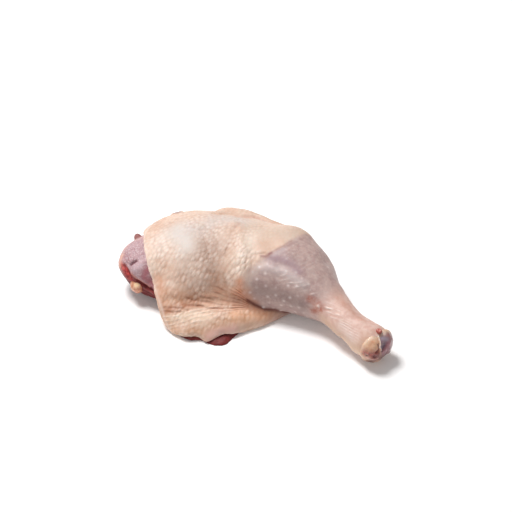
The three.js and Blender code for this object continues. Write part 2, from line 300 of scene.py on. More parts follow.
rollSeam = [(-50, 30, 41.5), (-44.1, 35.9, 40.4), (-24.3, 43.3, 39.3), (-8.5, 42.3, 40.2)]
dimple = [(-27.3, 18.3, 45.8), (-26.9, 24.8, 45)]
drumRidge = [(-1.1, -4.4, 37.8), (6.2, -2.5, 38.7), (15.3, -0.9, 39), (24, -1.8, 37), (32.7, -2.6, 34.6)]
drumClot = [(45.3, -8.6, 25.3), (45.8, -8.6, 25.1)]
skinLook = {
    "voxel": 0.57,
    "smoothing": 16,
    "frontWay": (0.308, -0.676, 0.669),  # the side with the fine relief
    "backLean": -0.25,
    "backKeep": 0.4,  # the share of faces that stays
    "liningDepth": 0.75,  # closer to the meat than this, the skin is lining
    "liningKeep": 0.06,
    "outerFrom": (0.7, 1.4),  # distances from the meat where the relief starts and is full
    "cover": 0.7,  # of the meat, which no relief cuts into
    "floor": 0.02,
    "waves": [(0.45, 14, 0), (0.2, 6, 5)],  # heights, sizes and shifts
    "knee": (1.3, 26.4, 23),
    "shankWay": (0.889, -0.451, -0.08),  # from the knee to the ankle
    "shankFrom": (46, 66),
    "shankWaver": (3, 9),
    "fatStep": 0.25,
    "border": {  # of the thin skin on the drumstick, and of the web in front of it
        "reach": 46, "blend": (-1.5, 1.5), "waver": 1.2, "waverSize": 6,
        "width": 2, "frontWidth": 2.5, "front": (-2, 6), "webTop": (-0.8, 0.8), "webEnd": (-36, -28),
    },
    "fatEdge": [  # where the thick fat under the skin ends, around the knee
        (20.4, 38, 39), (16.3, 33.7, 42.5), (13.5, 29.2, 44.9), (12.4, 22.9, 46.1), (9.8, 15.9, 46.1),
        (6.3, 11, 45.3), (1.7, 4.4, 43.2), (-1.1, 0.1, 41), (-4, -3.9, 38.6), (-5.9, -8.1, 35.6),
        (-6.7, -11.6, 32.3), (-5.9, -14.2, 27.8), (-4.4, -15.6, 22.4), (-1.5, -15.5, 16), (1, -16, 9),
        (4, -8, 2), (6, 12, 1), (6, 30, 3), (10, 46, 16), (20.4, 44, 30), (20.4, 38, 39),
    ],
    "gully": [  # between the web and the drumstick
        (-4, -16.5, 17.8), (-2.6, -15.8, 16.9), (2.1, -14.6, 14), (8.9, -13.2, 11.3), (15, -10.1, 10),
        (20.7, -5.9, 6.2), (27, -1, 3),
    ],
    "gullyDepth": 1.1,
    "gullyReach": 1.5,
    "furrow": [  # between the thigh and the flap
        (-54.9, -44.8, 12.1), (-48.1, -43.1, 14.7), (-42.1, -39.7, 16.5), (-36.6, -35.6, 17.5),
        (-31, -31.6, 18.5), (-25.3, -27.9, 19), (-19.4, -24.6, 19.3), (-13.4, -21.4, 18.5),
        (-7.3, -18.5, 16.5), (-3.6, -16.9, 15.2), (0.4, -15.8, 13.4),
    ],
    "furrowSides": [(-0.91, -0.415, 0), (-0.28, 0.61, 0.74)],  # leftwards and up, as seen from the front
    "furrowReach": 24,
    "folds": {  # they meet at a focus, and left of the fan they lie side by side
        "focus": (6, -14, 12), "angle": 0.105, "turn": -0.8, "spacing": 2, "depth": 0.45,
        "waver": (0.45, 11, 4), "fan": (-46, -24), "fanShown": (-36, -20),
        "low": (-0.2, 0), "high": (-0.95, -0.7), "length": 61, "shortening": 45, "end": (0, 14),
        "tip": (2, 7), "narrowest": (0.9, 1.6),
        "side": 0.25, "sideLow": (-4.5, -2), "sideHigh": (-5, -2), "sideStart": (-60, -54),
        "gaps": (0.7, 1.1, 6, 6), "sideGaps": (0.6, 1.8, 5, 9), "turns": 24,
    },
    "creases": [  # at the furrow's left end, as seen from the front
        [(-53.1, -43.9, 14.6), (-46.5, -41.8, 15.8), (-41.3, -40.4, 15.9), (-36.7, -39.1, 15.1)],
        [(-51.5, -45.1, 13.2), (-44.2, -44.1, 14.3), (-40.5, -42.1, 14.8)],
        [(-40.2, -32.9, 19.9), (-35.6, -31.7, 18.5), (-30.6, -29.9, 17.5), (-25.8, -27.9, 16.9)],
        [(-38.9, -37, 16.4), (-33.2, -34.4, 16.4), (-28.5, -32, 15.7)],
        [(-35.3, -29.7, 22.4), (-29.4, -27.4, 19.4), (-23.3, -25.8, 17.9)],
    ],
    "creaseDepth": 0.6,
    "creaseReach": 0.8,
    "creaseLean": 0.1,
    "creaseMottle": (0.8, 0.8, 4, 3),
    "rows": {  # of bumps on the flap
        "spacing": 2.6, "height": 0.3, "waver": (3, 8, 2), "mottle": (0.6, 0.9, 4, 8),
        "top": (2.5, 5), "bottom": (-17, -12), "start": (-56, -46), "end": (2, 22), "reach": 22,
    },
    "pebbles": {  # goose bumps
        "spacing": 2.15, "height": 0.38, "way": (0.164, 0.732, 0.659), "squeeze": 0.5,
        "width": 0.72, "sizes": (0.5, 0.7), "mottle": (0.8, 0.7, 9, 3),
        "home": (-22, -16, 34), "homeReach": (32, 26, 30), "homeShare": (0.75, 0.35),
        "calmBack": (10, 32), "calmKnee": [(-24, -8), (0, 8)], "calmWeb": [(-6, 8), (8, 16)],
    },
    "pores": {  # pale ones on the drumstick
        "spacing": 5.4, "size": 0.95, "height": 0.12, "evenness": 0.7, "thinnest": 0.9,
        "end": (36, 56), "back": (-3, 4), "backShare": 0.7,
    },
    "hock": {  # where the skin's end reaches over the knuckle and closes on it
        "cut": (86.3, -20.1, 13), "way": (0.848, -0.53, 0), "from": (-6, 0), "reach": 4.2, "low": 1,
        "high": (5, 10), "top": (9, 17), "closing": 0.16, "lip": (-2.2, -0.6),
    },
    "rimReach": 0.9,
    "cutEdge": [
        (-88.4, 6.5, 35.1), (-85.9, -6.8, 38.2), (-78.6, -18.2, 38.1), (-73.2, -25.8, 34.4),
        (-69, -30.1, 29.4), (-62.8, -36, 22.9), (-56, -42.2, 16.9), (-50.5, -46.3, 9.5),
        (-44.8, -50.5, 3.2),
    ],
    "marks": [  # lines on the surface, how far they reach to each side, and how high they stand
        ([(-44.7, 10.3, 46.8), (-36.5, -0.3, 45.5), (-29, -8.2, 42), (-22.5, -14.3, 36.7),
            (-16.8, -18.6, 29.6)], 8, -3),
        ([(-27.3, 18.3, 45.8), (-26.2, 9.7, 45.7), (-24.5, 1.2, 44.1), (-24.5, -6.7, 41.5),
            (-24.9, -13.7, 38), (-24.5, -18, 34.5), (-22.4, -20.9, 30.3)], 1.8, -0.6),
        ([(-28.7, 21.5, 45.5), (-21.5, 10.9, 45.6), (-14.9, 1.5, 42.9), (-11.2, -6.6, 38.2),
            (-9.8, -12.9, 32.2)], 6, 1.9),
        ([(-51.2, -39.6, 19.4), (-40.3, -35.7, 19.3), (-31.5, -30.5, 20.1), (-19.5, -24.2, 20.4),
            (-7.5, -18.1, 18)], 4, -1.8),
        ([(-45.2, -46.1, 10.5), (-33.8, -41.5, 12), (-22, -35, 12), (-10.4, -28.1, 11.5),
            (1, -20.4, 10.2)], 6, 1.2),
        (rollSeam, 1.9, -2),
        (dimple, 1.6, -0.4),
        ([(-4.6, 3.4, 42.9), (-0.4, 5.5, 43.7)], 1, -0.5),
        ([(1.6, 4.3, 43.1), (7, 2.3, 41.8), (12.4, 1.8, 41.1), (22.5, 3.7, 40.6), (29, 2.4, 38.7),
            (36, 0, 35.2)], 2.6, -0.45),
        (drumRidge, 3.2, 0.7),
        ([(38.4, -7.3, 27.7), (43.7, -7.7, 26.5), (48.8, -9.6, 24.7)], 2.5, -0.3),
        (drumClot, 0.9, 0.6),
        ([(-78, 22.5, 38), (-73, 25.5, 38)], 1.8, 1.2),
    ],
    "ripples": [  # lines they lie along, way across them, spacing, reach and height
        ([(54, -9.4, 26.6), (60, -11.6, 25.4)], (-0.085, 0.683, 0.724), 3.1, 3.4, 0.6),
        ([(68, -16.5, 23.4), (76, -20.5, 22)], (-0.107, -0.553, -0.827), 1.8, 4, 0.42),
        ([(17, -3.2, 36.8), (23, -3.9, 35.4), (29, -4.2, 34.3), (34.7, -4.1, 32.7),
            (39, -3.9, 31.5)], (-0.434, 0.529, 0.729), 3.2, 2.8, 0.3),
        ([(18, 14, 43), (30, 14, 40)], (0.889, -0.451, -0.08), 3, 9, 0.06),
        ([(-76, -13, 39.5), (-72, -18, 37.5)], (0.93, 0.25, 0.2), 2.8, 7, 0.24),
        ([(-68, -24, 33), (-64, -29, 29)], (0.93, 0.25, 0.2), 2.8, 7, 0.22),
    ],
    "rippleWaver": (1.5, 5, 2),
    "rippleSharpness": 3.5,
    "rippleMottle": (0.75, 1.2, 3.5, 8),
    "gleam": 3,
    "gleamFrom": (0, 10),
    "pulls": [  # places, reach and shift, from the hock over the knee to the flap's front edge
        ((74, -4, 25), (12, 7, 9), (-0.5, -1.7, -1.5)),
        ((52, 10, 29), (8, 6, 6), (1.2, 1, 0.5)),
        ((38.5, 24, 35), (7, 7, 7), (-1, -0.8, -0.6)),
        ((36, -4, 6), (14, 8, 7), (0.3, -0.7, -1.5)),
        ((77, -20, 9), (7, 5, 5), (-0.4, -1.4, -1.2)),
        ((9, 38, 42), (11, 8, 8), (0.2, 1.1, 1.9)),
        ((18, 36, 40), (8, 8, 8), (0.4, 0.9, 0.6)),
        ((-3, 41, 41), (8, 6, 6), (0, -0.7, -1.3)),
        ((-37, -53, 1), (5, 4, 4), (0.3, 1.6, 0.9)),
        ((-31, -52.5, 2), (5, 4, 4), (0.5, 1.8, 1.8)),
        ((-25, -51, 2), (4, 4, 4), (0.6, 2, 1.6)),
        ((-17.4, -46.8, 2), (5, 4, 4), (0.8, -2.3, -0.4)),
        ((-9, -41, 3), 4, (-0.5, 1.2, 0.2)),
    ],
    "patches": {  # lines, and how far their colour reaches
        "pale": ([(-64, 0, 42), (-54, -5, 44), (-50, -9, 43)], 11),
        "blush": ([(-54, -39, 19.5), (-40.3, -35.7, 19.3), (-19.5, -24.2, 20.4), (-5, -15.5, 24)], 6.5),
        "warm": ([(-62.5, -31.5, 27), (-58, -35.5, 22.8), (-53, -40.5, 18)], 3.8),
        # painted shade: this zone darkens the valley on the dome, and the next one its left slope
        "valleyShade": ([(-36.5, -0.3, 45.5), (-32.9, -11.2, 40), (-29, -19, 34), (-31, -25, 29),
            (-38, -30, 25)], 9.5),
        "slopeShade": ([(-46.2, -22.8, 34.7), (-42.4, -14.8, 40.5), (-40.8, -5.5, 44.5)], 7),
        "tan": ([(-52, -38.5, 18.8), (-50.5, -38.1, 18.3), (-38, -32.7, 18.5)], 5.5),
        # painted shade: a brown band along the trough at the furrow's left end
        "troughShade": ([(-50, -43.8, 14), (-46.5, -42, 15.5), (-42.2, -39.6, 16.4), (-37.1, -34.7, 17),
            (-34, -32.5, 17.4)], 3.6),
        "fair": ([(-25.5, -25, 20), (-20, -22.5, 20.5)], 3),
        "toast": ([(-29.9, -49.8, 7.9), (-20.5, -45.9, 7.3), (-16.2, -39.4, 9.8), (-6.1, -29.3, 11.4),
            (-0.6, -25.1, 10)], 5),
        "crust": ([(-51, -46, 10), (-46.7, -49.6, 6.4), (-40, -51.5, 4)], 5),
        "mocha": ([(-24, -18.5, 31), (-20.5, -19.5, 27)], 6),
        "buff": ([(-5.2, 12.8, 45.5), (-0.5, 9, 44.8)], 5.5),
        # painted shade where the furrow's folds meet, at its deep end by the drumstick
        "deep": ([(-10.5, -19.8, 17.6), (-7.3, -18.5, 16.5), (-3.6, -16.9, 15.6), (0, -15.6, 14.4),
            (4, -14.6, 12.4)], 5),
        "ash": ([(-58, 6, 45), (-47, 9, 45), (-45, 20, 45.5), (-30, 30, 44.5)], 10),
        "seam": (rollSeam, 1.2),
        "dimple": (dimple, 1.3),
        "knee": ([(-16, 28, 45.5), (-8, 22, 46), (5, 27, 45), (12, 34, 42)], 9),
        "fawn": ([(-31, 16, 46), (-26.4, 6.8, 45.3), (-28, -1, 43)], 6),
        "welt": ([(3, 6.5, 44), (6.3, 11, 45.3), (9.8, 15.9, 46.1), (12.4, 22.9, 46.1)], 0.8),
        "stain": ([(20, 11, 43.5), (27, 9, 41.5)], 5),
        "roll": ([(-48, 38, 38), (-24, 46, 36), (-6, 46, 36)], 7),
        # painted light on a creased spot by the hip's cut edge
        "hipEdgeLight": ([(-71, -24, 35), (-68.5, -27.5, 32.5)], 3.5),
        "frost": ([(-72, -8, 41), (-66, -16, 38.5)], 6),
        "cheek": ([(-9, -13.5, 30), (-7.5, -16.5, 22), (-3, -16, 17)], 3.6),
        # painted light along the dome's ridge
        "ridgeLight": ([(-14.9, 14.4, 46.2), (-12, 4.2, 44.3), (-14, -5, 41), (-12.5, -9, 38.5)], 5.5),
        # painted light along the flap's crest
        "glow": ([(-46, -44, 12), (-34, -41.5, 12), (-22, -35, 12)], 6),
        "amber": ([(-8, -27, 11), (2, -20, 10), (11, -15, 7.5)], 5),
        "rosy": ([(-17.5, -46.2, 5.4), (-14.9, -43.6, 6.6), (-9.5, -39.4, 6.8), (-4.3, -34.6, 6.5)], 3.2),
        "fleck": ([(66, -16.5, 21.6), (75, -21, 19)], 4),
        "tallow": ([(50, -11.8, 16.8), (63.9, -17.4, 14.6), (77.5, -22.8, 13.6), (84, -25.5, 14)], 4.5),
        "ruddy": ([(48.9, 5, 32), (58.3, 0.5, 29.7), (68.9, -4, 28.2), (78.8, -7.5, 27)], 3),
        "shred": ([(-77, 23, 38), (-74, 25, 38)], 1.4),
        # painted shade in the groove between the web and the drumstick
        "gully": ([(-2.6, -15.8, 16.9), (2.1, -14.6, 14), (8.9, -13.2, 11.3), (15, -10.1, 10),
            (20.7, -5.9, 6.2), (26, -2, 3.6)], 1.3),
        "shade": ([(2.1, -15.6, 12), (8.9, -14, 9.5), (15, -11.5, 8), (20.7, -7, 4.5)], 3.2),
        "tip": ([(-1.5, 3.4, 42.8), (1.7, 4.4, 43.2), (4.3, 7.2, 44.3)], 1.2),
        "lilac": ([(3, 4.4, 42.8), (10.1, 5.3, 42.8), (14.1, 6.1, 42.7), (20.1, 5.8, 41.6),
            (25.5, 3.5, 39.2)], 3.8),
        "haze": ([(5, 8, 44), (10.2, 13.3, 45.4)], 2.6),
        "milk": ([(0.9, -0.5, 40.5), (-1.9, -5.8, 37.4), (-4.2, -11, 33.3), (-4, -13.6, 28.4)], 3.4),
        "bleed": ([(-3.5, -14.2, 25), (-3, -14.8, 21), (2.4, -13.6, 15)], 3),
        "tuck": ([(8.7, -18, 6.5), (14, -13.5, 5.5), (18, -8, 4)], 4),
        "sheen": (drumRidge, 3.4),
        # the meat seen through the thin skin, with painted shade on the drumstick's lower side
        "plum": ([(4, -11.5, 26), (12.2, -9.4, 27), (20.2, -9.3, 25.6), (27.7, -9.3, 23.6),
            (33, -9.3, 22)], 7),
        "blemish": ([(38.4, -7.3, 27.7), (43.7, -7.7, 26.5), (48.8, -9.6, 24.7), (42.5, -9.6, 20.3)], 2.6),
        "clot": (drumClot, 0.9),
        "ankle": ([(82, -25, 12), (84, -25.5, 16), (84.6, -24.6, 19)], 3),
        "suet": ([(71, -18.5, 10.5), (77, -21, 10.2), (82, -23.5, 9)], 3.4),
        "hem": ([(82.8, -24.5, 17.9), (83.3, -22.8, 21.2), (84, -19.7, 24.2)], 3.6),
    },
    # Some cream tones paint light and shade: darker on the dome's valley and slope and in the furrow's
    # trough and deep end, lighter on the ridge, flap crest and a hip-edge spot
    "creamTones": [  # zones, how strong their tint is, and the tint
        ("pale", 0.9, "cac1ba"), ("ash", 0.75, "cdc3be"), ("slopeShade", 0.5, "b59a8b"),
        ("buff", 0.6, "b9957f"), ("frost", 0.5, "e9dbd1"), ("hipEdgeLight", 0.6, "f2e0d0"),
        ("knee", 0.65, "c4b0a1"), ("fawn", 0.5, "bd9f8d"), ("roll", 0.6, "c6a793"),
        ("valleyShade", 0.85, "aa8f81"), ("warm", 0.6, "d39a7c"), ("blush", 0.7, "e8b597"),
        ("tan", 0.5, "b68260"), ("ridgeLight", 0.7, "e8dacd"), ("glow", 0.8, "f0d6be"),
        ("toast", 0.75, "be8e6d"), ("crust", 0.6, "dba884"), ("mocha", 0.55, "ab785c"),
        ("amber", 0.7, "eab18a"), ("cheek", 0.75, "d48a66"), ("troughShade", 0.8, "9d5c33"),
        ("fair", 0.7, "f2d2b8"), ("furrow", 0.3, "e0a283"), ("deep", 0.45, "a5633f"),
        ("tuck", 0.25, "bb8362"),
    ],
    "veilTones": [
        ("lilac", 0.65, "957883"), ("haze", 0.5, "bba8aa"), ("sheen", 0.6, "c4b6b4"),
        # the plum tone is meat seen through the skin, with painted shade
        ("stain", 0.35, "987f79"), ("plum", 0.5, "806965"), ("milk", 0.55, "c9b3a8"),
        ("bleed", 0.55, "b3775c"),
    ],
    "shankTones": [
        ("tallow", 0.6, "d9b698"), ("fleck", 0.5, "ecd4ca"), ("ruddy", 0.5, "c08d78"),
    ],
    "drumTones": [
        # the first tone is painted shade in the groove between the web and the drumstick
        ("gully", 0.85, "672c1e"), ("gleam", 0.65, "f2e4de"), ("pore", 0.75, "eadcd8"),
    ],
    "endTones": [
        ("clot", 0.8, "ecd9cf"), ("rim", 0.6, "e6cec2"), ("ankle", 0.75, "d8b598"),
        ("hem", 0.5, "c9a187"), ("suet", 0.6, "f3d6be"), ("lip", 0.2, "e3cbbd"),
        ("lining", 1, "d0a69a"),
    ],
    "body": {**translucent(0.1, (1, 0.4, 0.25), 1.5), "Specular IOR Level": 0.4, "Coat Roughness": 0.3},
}


def thinSkin(look, points):  # how thin the skin is, and how far along the drumstick
    border = look["border"]
    way = np.array(look["shankWay"])
    edge, far = nearestOn(points, look["fatEdge"])
    past = far * np.sign((points - edge) @ way)
    fromKnee = points - np.array(look["knee"])
    along = fromKnee @ way
    out = np.linalg.norm(fromKnee - along[:, None] * way, axis=1)
    gully = np.array(look["gully"])
    under = np.interp(points[:, 0], gully[:, 0], gully[:, 2]) - points[:, 2]
    web = step(under, *border["webTop"]) * step(-along, *border["webEnd"])
    width = border["width"] + border["frontWidth"] * step(-points[:, 1], *border["front"])
    thin = step((past + border["waver"] * cloud(points, border["waverSize"])) / width, -1, 1)
    thin *= step(border["reach"] - out, *border["blend"])
    thin *= 1 - web
    return thin, along


def foldFurrow(look, points):  # where folds show, their profile and their count across
    folds = look["folds"]
    left, up = np.array(look["furrowSides"])
    x = points[:, 0]
    rise = (points - nearestOn(points, look["furrow"])[0]) @ up
    fromFocus = points - np.array(folds["focus"])
    angle = np.arctan2(fromFocus @ up, fromFocus @ left)
    reach = np.linalg.norm(fromFocus, axis=1)
    fanned = step(x, *folds["fan"])
    waver, size, shift = folds["waver"]
    count = (1 - fanned) * rise / folds["spacing"] + fanned * (angle / folds["angle"] + folds["turn"])
    count += waver * cloud(points, size, shift)
    shown = folds["side"] * (1 - fanned) * step(rise, *folds["sideLow"])
    shown *= step(-rise, *folds["sideHigh"]) * step(x, *folds["sideStart"])
    within = step(folds["length"] - folds["shortening"] * angle - reach, *folds["end"])
    within *= step(angle, *folds["low"]) * step(-angle, *folds["high"])
    shown += step(x, *folds["fanShown"]) * within * step(reach, *folds["tip"])
    sideGaps = np.clip(mottle(points, *folds["sideGaps"]), 0, 1)
    shown *= np.clip(mottle(points, *folds["gaps"]), 0, 1) * (fanned + (1 - fanned) * sideGaps)
    width = np.where(fanned > 0.5, reach * folds["angle"], folds["spacing"])
    profile = np.clip(np.sin(count * 2 * np.pi), 0, 1) * step(width, *folds["narrowest"])
    return shown, profile, count


def creaseFurrow(look, points, normals):  # creases lie on the side that faces the front
    front = np.array(look["frontWay"])
    flat = points - np.outer(points @ front, front)
    crease = np.zeros(len(points))
    for line in map(np.array, look["creases"]):
        crease = np.maximum(crease, streak(flat, line - np.outer(line @ front, front), look["creaseReach"]))
    return crease * (normals @ front > look["creaseLean"]) * mottle(points, *look["creaseMottle"])


def bumpRows(look, points):  # below the furrow
    rows = look["rows"]
    x = points[:, 0]
    place, far = nearestOn(points, look["furrow"])
    rise = (points - place) @ np.array(look["furrowSides"][1])
    waver, size, shift = rows["waver"]
    wave = np.sin(rise * 2 * np.pi / rows["spacing"] + waver * cloud(points, size, shift))
    shown = step(-rise, *rows["top"]) * step(rise, *rows["bottom"]) * (far < rows["reach"])
    shown *= step(x, *rows["start"]) * step(-x, *rows["end"])
    return np.clip(wave, 0, 1) * mottle(points, *rows["mottle"]) * shown


def gooseBumps(look, points, outer, calm):  # where the skin is pebbly, and the bumps
    pebbles = look["pebbles"]
    base, extra = pebbles["homeShare"]
    pebbly = outer * (base + extra * spot(points, pebbles["home"], pebbles["homeReach"]))
    pebbly *= mottle(points, *pebbles["mottle"])
    x, y = points[:, 0], points[:, 1]
    kneeX, kneeY = pebbles["calmKnee"]
    webX, webY = pebbles["calmWeb"]
    top = np.maximum(0.6 * step(y, *pebbles["calmBack"]), step(x, *kneeX) * step(y, *kneeY))
    web = step(x, *webX) * step(-y, *webY)
    for share in [*calm, 0.7 * top, 0.3 * web]:
        pebbly *= 1 - share
    longWay = np.array(pebbles["way"])
    squeezed = points - np.outer(points @ longWay, longWay) * pebbles["squeeze"]
    middles = scatter(squeezed[outer > 0.5], pebbles["spacing"])
    which, far = nearest(squeezed, middles)
    smallest, more = pebbles["sizes"]
    sizes = smallest + more * dice.random(len(middles))
    bumps = np.clip(1 - (far / (pebbles["width"] * pebbles["spacing"])) ** 2, 0, 1) * sizes[which]
    return pebbly, pebbly * bumps


def drumPores(look, points, outer, thin, along):
    pores = look["pores"]
    middles = scatter(points[(outer > 0.5) & (thin > pores["thinnest"])], pores["spacing"])
    which, far = nearest(points, middles)
    sizes = dice.random(len(middles)) ** pores["evenness"]
    shown = thin * (1 - step(along, *pores["end"]))
    shown *= 1 - pores["backShare"] * step(points[:, 1], *pores["back"])
    return fade(far, pores["size"]) * shown * sizes[which]


def ripple(look, points):  # heights of the ripples, and how far their crests gleam
    height, gleam = np.zeros(len(points)), np.zeros(len(points))
    waver, size, shift = look["rippleWaver"]
    for line, way, spacing, reach, level in look["ripples"]:
        across = (points - np.array(line[0])) @ unit(way)
        wave = np.sin(across * 2 * np.pi / spacing + waver * cloud(points, size, shift))
        crest = ((1 + wave) / 2) ** look["rippleSharpness"] * streak(points, line, reach)
        crest *= mottle(points, *look["rippleMottle"])
        height += level * crest
        gleam += level * np.clip(crest, 0, 1)
    return height, look["gleam"] * gleam * step(points[:, 0], *look["gleamFrom"])


def closeOnHock(look, points):  # shifts at the skin's end, and the lip there
    hock = look["hock"]
    way = np.array(hock["way"])
    toMiddle = np.array(hock["cut"]) - points
    beyond = -(toMiddle @ way)
    toMiddle -= np.outer(toMiddle @ way, way)
    end = step(beyond, *hock["from"])
    high = step(points[:, 2], *hock["high"])
    closing = hock["closing"] * step(points[:, 2], *hock["top"]) * end ** 2
    shifts = np.outer(end * (hock["reach"] * high - hock["low"]), way) + closing[:, None] * toMiddle
    return shifts, step(beyond, *hock["lip"])


def makeSkin(look):
    piece = closeCopy("legSkin", "skin", look["voxel"])
    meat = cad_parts["meat"].data
    corners = [v.co / mm for v in meat.vertices]
    tree = BVHTree.FromPolygons(corners, [tuple(f.vertices) for f in meat.polygons])
    away = readPoints(piece, "normal") @ np.array(look["frontWay"]) < look["backLean"]
    thinOut(piece, away & (distanceTo(tree, readPoints(piece)) >= look["liningDepth"]), look["backKeep"])
    thinOut(piece, distanceTo(tree, readPoints(piece)) < look["liningDepth"], look["liningKeep"])
    smoothOver(piece, look["smoothing"])
    points, normals = readPoints(piece), readPoints(piece, "normal")
    lining = distanceTo(tree, points)
    outer = step(lining, *look["outerFrom"])
    zones = patchZones(points, look["patches"])

    thin, along = thinSkin(look, points)
    near = outer * (nearestOn(points, look["furrow"])[1] < look["furrowReach"])
    furrow, profile, count = foldFurrow(look, points)
    furrow *= near * (1 - thin)
    crease = near * creaseFurrow(look, points, normals)
    rows = outer * (1 - thin) * bumpRows(look, points)
    calm = [0.9 * zones["pale"] ** 2, 0.8 * zones["rosy"], 0.9 * thin, 0.7 * furrow]
    pebbly, pebble = gooseBumps(look, points, outer, calm)
    pore = drumPores(look, points, outer, thin, along)
    ripples, gleam = ripple(look, points)
    shifts, lip = closeOnHock(look, points)

    height = look["pebbles"]["height"] * pebble + look["pores"]["height"] * pore - look["fatStep"] * thin
    height += relief(points, look["marks"]) + ripples + unevenness(points, look["waves"])
    height += look["rows"]["height"] * rows - look["folds"]["depth"] * furrow * profile
    height -= look["gullyDepth"] * streak(points, look["gully"], look["gullyReach"])
    height -= look["creaseDepth"] * crease
    height = np.maximum(height, look["cover"] - lining)
    moved = points + normals * (outer * height)[:, None] + drag(points, look["pulls"]) + shifts
    moved[:, 2] = np.maximum(moved[:, 2], look["floor"])
    movePoints(piece, moved)
    waver, size = look["shankWaver"]
    zones.update({
        "thin": thin, "lining": 1 - outer, "pebbly": pebbly, "pebble": pebble, "pore": pore, "rows": rows,
        "furrow": furrow, "phase": count / look["folds"]["turns"] + 0.5, "crease": crease,
        "gleam": gleam, "lip": lip,
        "rim": streak(points, look["cutEdge"], look["rimReach"]),
        "shank": step(along + waver * cloud(points, size), *look["shankFrom"]),
    })
    giveZones(piece, zones)
    return piece


def paintSkin(look):
    paint = Paint("skin")
    zone = paint.zone
    thin, pebbly, pebble = zone("thin"), zone("pebbly"), zone("pebble")
    turns = 2 * np.pi * look["folds"]["turns"]
    folds = zone("furrow") * paint.ramp((turns * (zone("phase") - 0.5)).wave(), -0.5, 1)
    cream = paint.glaze(paint.patchy(14, "dec4b3", "d4b29d"), look["creamTones"])
    # painted shade in the valleys of the furrow's folds, stronger where they meet
    cream = paint.mix(0.42 * folds + 0.3 * folds * zone("deep"), cream, tint("94503c"))
    # painted shade in the creases at the furrow's left end
    cream = paint.mix(0.5 * zone("crease"), cream, tint("9a5638"))
    # painted shade along the crease below the back roll and in the dimple
    cream = paint.mix(0.5 * zone("seam") + 0.25 * zone("dimple"), cream, tint("b98373"))
    # painted shade between the goose bumps, and painted highlight on their tops and on the rows' crests
    cream = paint.mix(0.36 * (pebbly - pebble), cream, tint("9d7059"))
    cream = paint.mix(0.3 * pebble + 0.35 * zone("rows"), cream, tint("eadcd1"))
    cream = paint.mix(0.65 * zone("rosy"), cream, tint("d2a39b"))
    cream = paint.mix(zone("shred") * (0.5 + 0.5 * paint.grain(1.5)), cream, tint("6b4a55"))
    veil = paint.patchy(7, "b89e98", "a88b87")
    veil = paint.mix(0.5 * paint.ramp(paint.grain(2), 0.45, 0.65), veil, tint("c5ada5"))
    veil = paint.glaze(veil, look["veilTones"])
    shank = paint.glaze(paint.patchy(3, "d9b9ad", "cfa99c", 0.38, 0.62), look["shankTones"])
    colour = paint.mix(thin, cream, paint.mix(zone("shank"), veil, shank))
    colour = paint.mix(0.65 * zone("tip") + 0.35 * zone("welt"), colour, tint("8a5a5a"))
    colour = paint.mix(0.5 * zone("shade") * (1 - thin), colour, tint("9a6248"))
    colour = paint.glaze(colour, look["drumTones"])
    rash = paint.ramp(paint.grain(2.2), 0.4, 0.62)
    colour = paint.mix(zone("blemish") * (0.4 + 0.45 * rash), colour, tint("a55d4a"))
    colour = paint.glaze(colour, look["endTones"])
    cells = paint.cells(1.55, look["pebbles"]["way"], 1.8)
    grit = 0.25 * paint.grain(0.9, 4) - pebbly * cells - 0.4 * folds
    return paint.finish({
        "Base Color": colour, "Roughness": 0.5 + 0.15 * paint.grain(5) - 0.08 * thin + 0.14 * zone("shank"),
        "Coat Weight": 0.03 + 0.05 * thin, **look["body"],
    }, grit, 0.3)


skin = makeSkin(skinLook)
skin.data.materials.append(paintSkin(skinLook))
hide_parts("skin")
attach(skin, "root")
print("skin", len(skin.data.vertices), sum(len(f.vertices) - 2 for f in skin.data.polygons))


# Meat

